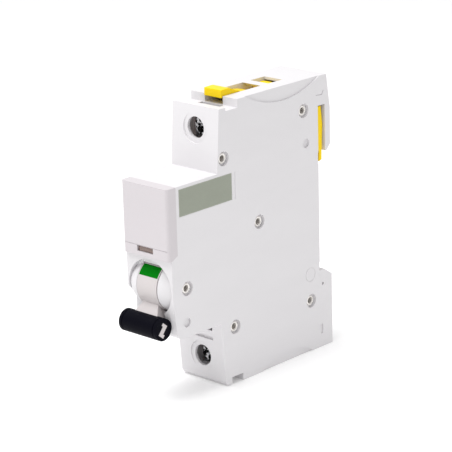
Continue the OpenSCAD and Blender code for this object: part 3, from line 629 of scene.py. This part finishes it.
@dataclass
class Softened:
    """A copy of a CAD node whose sharp outside edges are rounded.

    A copy is merged first, flat regions are joined, and edges that turn by more than least_angle get a
    weight, so that the Bevel modifier rounds only those.
    """

    node: str
    slot: Slot
    width: float = 0.25
    body: str = "case"
    segments: int = 3
    least_angle: float = 28.0
    least_length: float = 0.7
    flat_angle: float = 0.8
    crease: float = 4.0
    keep: Optional[Callable[[Array, Array], float]] = None

    def _weigh(self, work: bmesh.types.BMesh) -> None:
        """Marks the edges to round; keep may give a weight from an edge's two ends in millimetres."""
        layer = work.edges.layers.float.new("bevel_weight_edge")
        for edge in work.edges:
            if len(edge.link_faces) != 2 or edge.calc_length() < self.least_length * MM:
                continue
            if math.degrees(edge.calc_face_angle(0.0)) < self.least_angle:
                continue
            ends = [np.array(v.co) / MM for v in edge.verts]
            edge[layer] = self.keep(*ends) if self.keep else 1.0

    def build(self) -> bpy.types.Object:
        """Makes the piece and hides the node that it stands for."""
        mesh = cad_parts[self.node].data.copy()
        mesh.name = self.node + " softened"
        work = bmesh.new()
        work.from_mesh(mesh)
        bmesh.ops.remove_doubles(work, verts=work.verts, dist=2 * JOIN)
        bmesh.ops.dissolve_limit(work, angle_limit=math.radians(self.flat_angle), verts=work.verts,
                                 edges=work.edges)
        self._weigh(work)
        work.to_mesh(mesh)
        work.free()
        if mesh.has_custom_normals:
            mesh.attributes.remove(mesh.attributes["custom_normal"])
        mesh.polygons.foreach_set("use_smooth", np.ones(len(mesh.polygons), bool))
        obj = add_piece("soft_" + self.node, mesh, self.body, self.slot, [self.node])
        bevel = obj.modifiers.new("rounded edges", "BEVEL")
        bevel.limit_method = "WEIGHT"
        bevel.width = self.width * MM
        bevel.segments = self.segments
        bevel.use_clamp_overlap = True
        mesh.set_sharp_from_angle(angle=math.radians(self.least_angle + self.crease))
        flat = obj.modifiers.new("even faces", "WEIGHTED_NORMAL")
        flat.keep_sharp = True
        return obj


@dataclass
class CaseShells:
    """The two halves of the case and the front cap, with softened rims and a fine groove where they meet."""

    half_width: float = 9.0
    split_x: float = -1.3
    rim: float = 0.4
    near: float = 0.01
    long_edge: float = 4.0
    parting_share: float = 0.4
    long_share: float = 0.8

    def _weight(self, a: Array, b: Array) -> float:
        """Full at the rims of the side faces, small along the parting line, middling elsewhere outside."""
        x = np.array([a[0], b[0]])
        if np.all(np.abs(x - self.split_x) < self.near):
            return self.parting_share
        if np.all(np.abs(np.abs(x) - self.half_width) < self.near):
            return 1.0
        if np.all(np.abs(x) < self.half_width + self.near) and abs(x[0] - x[1]) > self.long_edge:
            return self.long_share
        return 0.0

    def build(self) -> None:
        """Makes the three shells."""
        for node in ("left_case", "right_case"):
            Softened(node, Slot.CASE, self.rim, keep=self._weight).build()
        Softened("nose_cap", Slot.CAP, self.rim, keep=self._weight).build()


@dataclass
class Rivets:
    """Six tubular rivets, rolled over at both ends."""

    places: Sequence[tuple[float, float]] = ((-6.4, 33.3), (-41.2, 26.4), (-26.7, 4.2), (-38.1, -25.0),
                                             (-4.15, -26.4), (-57.5, -8.0))
    bore_r: float = 0.9
    shank_r: float = 1.25
    rim_r: float = 1.6
    end_x: float = 8.5
    rim_t: float = 0.5
    under_roll: float = 0.15
    rim_step: float = 0.05

    def profile(self) -> Array:
        """The closed section: the bore, a rolled lip that turns outwards in a half circle, and the shank."""
        roll = (self.rim_r - self.bore_r) / 2
        middle = self.bore_r + roll
        a = np.linspace(np.pi, -self.under_roll * np.pi, 12)
        lip_x = self.end_x - roll + roll * np.sin(a)
        lip_r = middle + roll * np.cos(a)
        foot_x = self.end_x - self.rim_t
        foot = np.array([[foot_x, self.rim_r - self.rim_step], [foot_x, self.shank_r]])
        right = np.vstack([np.column_stack([lip_x, lip_r]), foot])
        left = right[::-1] * (-1, 1)
        return np.vstack([right, left])

    def build(self) -> None:
        """Makes all six as one piece."""
        made = Surface()
        for y, z in self.places:
            made.lathe(self.profile(), (0.0, y, z), 0, 48, closed=True)
        add_piece("rivets", made.mesh("rivets"), "case", Slot.RIVET, ["case_rivets"])


@dataclass
class TerminalScrew:
    """A terminal screw: a head with a cross recess and short ticks between its arms, and a threaded shank."""

    name: str
    node: str
    body: str
    side: int
    head_y: float = -40.092
    centre_z: float = 34.5
    head_r: float = 2.9
    head_t: float = 1.6
    arm_half: float = 0.42
    arm_long: float = 2.15
    recess: float = 0.88
    shank_r: float = 2.0
    root_r: float = 1.62
    tip_y: float = -32.99
    pitch: float = 0.7
    sides: int = 160
    wall_lead: float = 0.12
    wall_run: float = 0.16
    end_run: float = 0.35
    tick_half: float = 0.07
    tick_long: float = 1.9
    tick_depth: float = 0.18
    face_r: float = 2.35
    rim_lead: float = 0.07
    rim_round: float = 0.3
    run_out: float = 0.6
    point_t: float = 0.4
    point_share: float = 0.8

    def _depth(self, x: Array, z: Array) -> Array:
        """Depth of the recess: the arms are troughs with sloped walls, the ticks shallow ones at 45 degrees."""
        def trough(across: Array, along: Array, half: float, long: float, deep: float) -> Array:
            wall = np.clip((half + self.wall_lead - np.abs(across)) / self.wall_run, 0, 1)
            end = np.clip((long - np.abs(along)) / self.end_run, 0, 1)
            return deep * wall * end
        u, v = (x + z) / math.sqrt(2), (x - z) / math.sqrt(2)
        arms = np.maximum(trough(x, z, self.arm_half, self.arm_long, self.recess),
                          trough(z, x, self.arm_half, self.arm_long, self.recess))
        ticks = np.maximum(trough(u, v, self.tick_half, self.tick_long, self.tick_depth),
                           trough(v, u, self.tick_half, self.tick_long, self.tick_depth))
        return np.maximum(arms, ticks)

    def build(self) -> None:
        """Makes the head's face as depth over a polar grid, its rounded rim, and a shank whose radius follows
        the thread: root plus rise times a triangle wave of (depth / pitch - angle / full turn)."""
        made = Surface()
        turn = np.linspace(0, 2 * np.pi, self.sides, endpoint=False)
        z0 = self.side * self.centre_z
        flat_r = self.head_r - self.rim_round
        rings = np.concatenate([np.linspace(0.001, self.face_r, 44),
                                np.linspace(self.face_r + self.rim_lead, flat_r, 4)])
        r, a = np.meshgrid(rings, turn, indexing="ij")
        x, z = r * np.cos(a), r * np.sin(a)
        face = np.stack([x, self.head_y + self._depth(x, z), z + z0], axis=-1)
        made.grid(face, wrap_v=True)
        bend = np.linspace(0, np.pi / 2, 6)
        rim = np.column_stack([self.head_y + self.rim_round * (1 - np.cos(bend)),
                               flat_r + self.rim_round * np.sin(bend)])
        under = np.array([[self.head_y + self.head_t, self.head_r], [self.head_y + self.head_t, self.shank_r]])
        profile = np.vstack([rim, under])
        ring = np.zeros((len(profile), len(turn), 3))
        ring[..., 0] = profile[:, 1, None] * np.cos(turn)
        ring[..., 1] = profile[:, 0, None]
        ring[..., 2] = profile[:, 1, None] * np.sin(turn) + z0
        made.grid(ring, wrap_v=True)
        along = np.linspace(self.head_y + self.head_t, self.tip_y - self.point_t, 110)
        y, a = np.meshgrid(along, turn[::4], indexing="ij")
        phase = np.mod(y / self.pitch - a / (2 * np.pi), 1.0)
        rise = 1 - np.abs(2 * phase - 1)
        fade = np.clip((y - along[0]) / self.run_out, 0, 1)
        radius = self.shank_r - (self.shank_r - self.root_r) * rise * fade
        shank = np.stack([radius * np.cos(a), y, radius * np.sin(a) + z0], axis=-1)
        made.grid(shank, wrap_v=True)
        point_r = self.point_share * self.root_r
        point = np.stack([point_r * np.cos(turn[::4]), np.full(len(turn[::4]), self.tip_y),
                          point_r * np.sin(turn[::4]) + z0], axis=-1)
        made.grid(np.stack([shank[-1], point]), wrap_v=True)
        made.disc(point)
        mesh = made.mesh(self.name)
        mesh.set_sharp_from_angle(angle=math.radians(35))
        add_piece(self.name, mesh, self.body, Slot.SCREW, [self.node])


@dataclass
class WindowLens:
    """The small lens over the trip flag, its face slightly domed."""

    low: tuple[float, float, float] = (-3.45, -64.13, 2.65)
    high: tuple[float, float, float] = (2.75, -63.55, 4.25)
    dome: float = 0.14

    def build(self) -> None:
        """Makes the face as y = front + dome * (1 - (1 - u^4)(1 - v^4)), and a flat back joined by side walls."""
        u, v = np.meshgrid(np.linspace(-1, 1, 25), np.linspace(-1, 1, 13), indexing="ij")
        x = (self.low[0] + self.high[0]) / 2 + u * (self.high[0] - self.low[0]) / 2
        z = (self.low[2] + self.high[2]) / 2 + v * (self.high[2] - self.low[2]) / 2
        front = self.low[1] + self.dome * (1 - (1 - u ** 4) * (1 - v ** 4))
        made = Surface()
        face = np.stack([x, front, z], axis=-1)
        back = np.stack([x, np.full_like(x, self.high[1]), z], axis=-1)
        made.grid(face)
        made.grid(back, flip=True)
        for line in (np.s_[0, :], np.s_[-1, :], np.s_[:, 0], np.s_[:, -1]):
            made.grid(np.stack([face[line], back[line]]))
        add_piece("window_lens", made.mesh("window_lens"), "case", Slot.SMOKE, ["trip_window"])


@dataclass
class Springs:
    """The three springs and the coil, wound as true helices in place of their stand-in rings."""

    pivot: tuple[float, float] = (-57.5, -8.0)
    carrier: tuple[float, float] = (-39.0, 11.0)
    coil_z: float = 19.5
    coil_r: float = 4.63
    coil_wire: float = 0.9
    coil_y: tuple[float, float] = (-28.8, -13.0)
    coil_turns: float = 8.25
    wire_share: float = 0.94
    wound_turns: float = 2.25
    wound_pitch: float = 2.3
    lead_low: float = 11.1
    lead_high: float = 28.9

    def _torsion(self, name: str, node: str, x: float, centre: tuple[float, float], radius: float,
                 wire: float, leg: float) -> None:
        """Winds two turns along the width, with a straight leg from each end."""
        pitch = self.wound_pitch * wire
        wound = helix((0, *centre), 0, radius, x, x + 2 * pitch, 0.0, self.wound_turns)
        start = wound[0] + (0, 0, leg)
        end = wound[-1] + (0, 0.9 * radius, 0)
        made = Surface()
        made.tube(np.vstack([start, wound[0] + (0, 0, 0.1 * np.sign(leg)), wound[1:], end]), wire, 10)
        add_piece(name, made.mesh(name), "case", Slot.SPRING, [node])

    def build(self) -> None:
        """Makes the coil and the springs."""
        made = Surface()
        turns = helix((0, 0, self.coil_z), 1, self.coil_r, *self.coil_y, 180.0, self.coil_turns, 40)
        low = turns[0] * (1, 1, 0) + (0, 0, self.lead_low)
        high = turns[-1] * (1, 1, 0) + (0, 0, self.lead_high)
        made.tube(np.vstack([low, turns, high]), self.wire_share * self.coil_wire, 14)
        add_piece("winding", made.mesh("winding"), "case", Slot.WINDING, ["coil"])
        self._torsion("toggle_torsion_spring", "toggle_spring", -6.5, self.pivot, 3.1, 0.34, 6.0)
        self._torsion("contact_torsion_spring", "contact_spring", 3.5, self.carrier, 2.8, 0.29, -7.0)
        made = Surface()
        made.tube(helix((0, 0, self.coil_z), 1, 1.9, -27.6, -26.4, 0.0, 3.0), 0.28, 10)
        spring = add_piece("plunger_return_spring", made.mesh("plunger_return_spring"), "case", Slot.SPRING,
                           ["plunger_spring"])
        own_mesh(spring)


@dataclass
class DriveLink:
    """The bent wire between the drum and the contact carrier."""

    crank: tuple[float, float] = (-59.527, -5.788)
    rocker: tuple[float, float] = (-41.03, -4.87)
    inner_x: float = -3.4
    far_x: float = -2.4
    leg_x: float = 5.0
    wire_r: float = 0.58

    def build(self) -> None:
        """Makes the wire with rounded corners."""
        path = rounded([(self.inner_x, *self.crank), (self.leg_x, *self.crank), (self.leg_x, *self.rocker),
                        (self.far_x, *self.rocker)], 0.55)
        made = Surface()
        made.tube(path, self.wire_r, 14)
        add_piece("link_wire", made.mesh("link_wire"), "drive_link", Slot.PIN, ["drive_link"])


@dataclass
class Braid:
    """The flexible copper lead: fine strands that wind around one slack path."""

    path: Sequence[tuple[float, float, float]] = (
        (-4.6, -46.25, -0.6), (-4.4, -45.2, -2.0), (-4.1, -43.5, -2.9), (-3.95, -41.8, -2.9),
        (-3.9, -40.3, -2.0))
    radius: float = 0.32
    strand: float = 0.14
    strands: int = 8
    twists: float = 3.5

    def build(self) -> None:
        """Makes the strands: each lies at radius * (cos a, sin a) from the path, a growing along it, and half of
        the strands wind the other way."""
        line = rounded(self.path, 0.7, 10)
        reach = np.concatenate([[0], np.cumsum(np.linalg.norm(np.diff(line, axis=0), axis=1))])
        s = np.linspace(0, reach[-1], 90)
        centre = np.stack([np.interp(s, reach, line[:, k]) for k in range(3)], axis=1)
        along = np.gradient(centre, axis=0)
        along /= np.linalg.norm(along, axis=1, keepdims=True)
        side = np.cross(along, (1.0, 0.0, 0.0))
        side /= np.linalg.norm(side, axis=1, keepdims=True)
        up = np.cross(along, side)
        made = Surface()
        for k in range(self.strands):
            way = 1 if k % 2 else -1
            start = 2 * np.pi * (k // 2) / (self.strands / 2)
            a = (start + way * 2 * np.pi * self.twists * s / reach[-1])[:, None]
            made.tube(centre + self.radius * (np.cos(a) * side + np.sin(a) * up), self.strand, 6)
        add_piece("copper_braid", made.mesh("copper_braid"), "case", Slot.COPPER, ["flexible_braid"])


@dataclass
class Toggle:
    """The drum, its flag, the neck and the black grip."""

    edge: float = 0.22
    flag_edge: float = 0.08

    def build(self) -> None:
        """Makes the three pieces."""
        Softened("toggle_drum", Slot.TOGGLE, self.edge, "toggle").build()
        Softened("position_flag", Slot.GREEN, self.flag_edge, "toggle", 2).build()
        Softened("toggle_grip", Slot.GRIP, self.edge, "toggle").build()


@dataclass
class RailClips:
    """The two pull-out clips that hold the rail."""

    edge: float = 0.45
    tab_edge: float = 0.95
    tab_back: float = -29.0
    tab_low: float = 41.2

    def _weight(self, a: Array, b: Array) -> float:
        """Full around the tab's front and top, half elsewhere."""
        on_tab = max(a[1], b[1]) < self.tab_back and min(a[2], b[2]) > self.tab_low
        return 1.0 if on_tab else self.edge / self.tab_edge

    def build(self) -> None:
        """Makes both clips."""
        Softened("upper_clip", Slot.CLIP, self.tab_edge, "upper_clip", 4, keep=self._weight).build()
        Softened("lower_clip", Slot.CLIP, self.edge, "lower_clip").build()


INNER = {
    "trip_flag": Slot.RED, "side_label": Slot.LABEL, "contact_carrier": Slot.MECHANISM,
    "moving_contact": Slot.COPPER, "moving_contact_tip": Slot.SILVER, "pivot_pins": Slot.PIN,
    "fixed_contact": Slot.COPPER, "fixed_contact_tip": Slot.SILVER, "coil_bobbin": Slot.BOBBIN,
    "plunger": Slot.IRON, "pole_piece": Slot.IRON, "yoke": Slot.YOKE, "trip_lever": Slot.LEVER,
    "bimetal": Slot.BIMETAL, "bimetal_bracket": Slot.COPPER, "calibration_screw": Slot.SCREW,
    "arc_plates": Slot.PLATE, "arc_chute_sides": Slot.FIBRE, "arc_runner": Slot.COPPER,
    "upper_terminal_bar": Slot.COPPER, "lower_terminal_bar": Slot.COPPER, "upper_clamp_plate": Slot.PLATE,
    "lower_clamp_plate": Slot.PLATE,
}


# ---------------------------------------------------------------- studio


@dataclass
class Studio:
    """The floor, the soft lights and the camera."""

    floor_z: float = -42.52
    floor_r: float = 4000.0
    azimuth: float = 43.299
    elevation: float = 17.345
    roll: float = -1.626
    distance: float = 597.98
    target: tuple[float, float, float] = (-1.33, -30.0, 1.74)
    lens: float = 162.4
    sky: float = 0.75

    def _floor(self) -> None:
        """Makes a round sheet under the part."""
        made = Surface()
        made.lathe(np.array([[0.0, 0.001], [0.0, self.floor_r]]), (0, self.target[1], self.floor_z), 2, 96)
        mesh = made.mesh("floor")
        mesh.materials.append(Paper("floor paper", (0.96, 0.96, 0.96)).make())
        floor = bpy.data.objects.new("floor", mesh)
        bpy.context.scene.collection.objects.link(floor)

    def _area(self, name: str, azimuth: float, elevation: float, distance: float, size: float,
              power: float) -> None:
        """Hangs a square light that faces the part.

        Args:
            name: the light's name.
            azimuth: its direction round the part, as the camera's.
            elevation: its height above the horizon, in degrees.
            distance: its distance.
            size: the length of its sides.
            power: its power in watts.
        """
        light = bpy.data.lights.new(name, "AREA")
        light.shape = "SQUARE"
        light.size = size * MM
        light.energy = power
        a, e = math.radians(azimuth), math.radians(elevation)
        back = Vector((math.sin(a) * math.cos(e), -math.cos(a) * math.cos(e), math.sin(e)))
        obj = bpy.data.objects.new(name, light)
        obj.location = (Vector((0, self.target[1], 0)) + back * distance) * MM
        obj.rotation_mode = "QUATERNION"
        obj.rotation_quaternion = (-back).to_track_quat("-Z", "Y")
        bpy.context.scene.collection.objects.link(obj)

    def _camera(self) -> None:
        """Sets the camera on a ray from the target, turned by its roll."""
        a, e, t = (math.radians(v) for v in (self.azimuth, self.elevation, self.roll))
        back = Vector((math.sin(a) * math.cos(e), -math.cos(a) * math.cos(e), math.sin(e)))
        level = Vector((0, 0, 1)).cross(back).normalized()
        upright = back.cross(level)
        right = math.cos(t) * level + math.sin(t) * upright
        up = -math.sin(t) * level + math.cos(t) * upright
        data = bpy.data.cameras.new("camera")
        data.lens = self.lens
        data.sensor_width = 36.0
        data.clip_start, data.clip_end = 0.01, 20.0
        camera = bpy.data.objects.new("camera", data)
        bpy.context.scene.collection.objects.link(camera)
        place = Matrix((right, up, back)).transposed().to_4x4()
        place.translation = (Vector(self.target) + back * self.distance) * MM
        camera.matrix_world = place
        bpy.context.scene.camera = camera

    def build(self) -> None:
        """Sets up the studio."""
        scene = bpy.context.scene
        world = bpy.data.worlds.new("soft box")
        world.use_nodes = True
        ground = world.node_tree.nodes["Background"]
        ground.inputs["Color"].default_value = (1.0, 1.0, 1.0, 1.0)
        ground.inputs["Strength"].default_value = self.sky
        scene.world = world
        scene.view_settings.view_transform = "Standard"
        self._floor()
        self._area("key", azimuth=-25, elevation=70, distance=620, size=460, power=3.1)
        self._camera()


def main() -> None:
    """Builds the studio and every piece."""
    logging.basicConfig(level=logging.INFO, format="%(message)s")
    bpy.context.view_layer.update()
    Studio().build()
    CaseShells().build()
    Toggle().build()
    RailClips().build()
    Rivets().build()
    TerminalScrew("upper_screw_head", "upper_terminal_screw", "upper_screw", 1).build()
    TerminalScrew("lower_screw_head", "lower_terminal_screw", "lower_screw", -1).build()
    WindowLens().build()
    Springs().build()
    DriveLink().build()
    Braid().build()
    for node, slot in INNER.items():
        dress(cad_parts[node], slot)


if __name__ == "__main__":
    main()
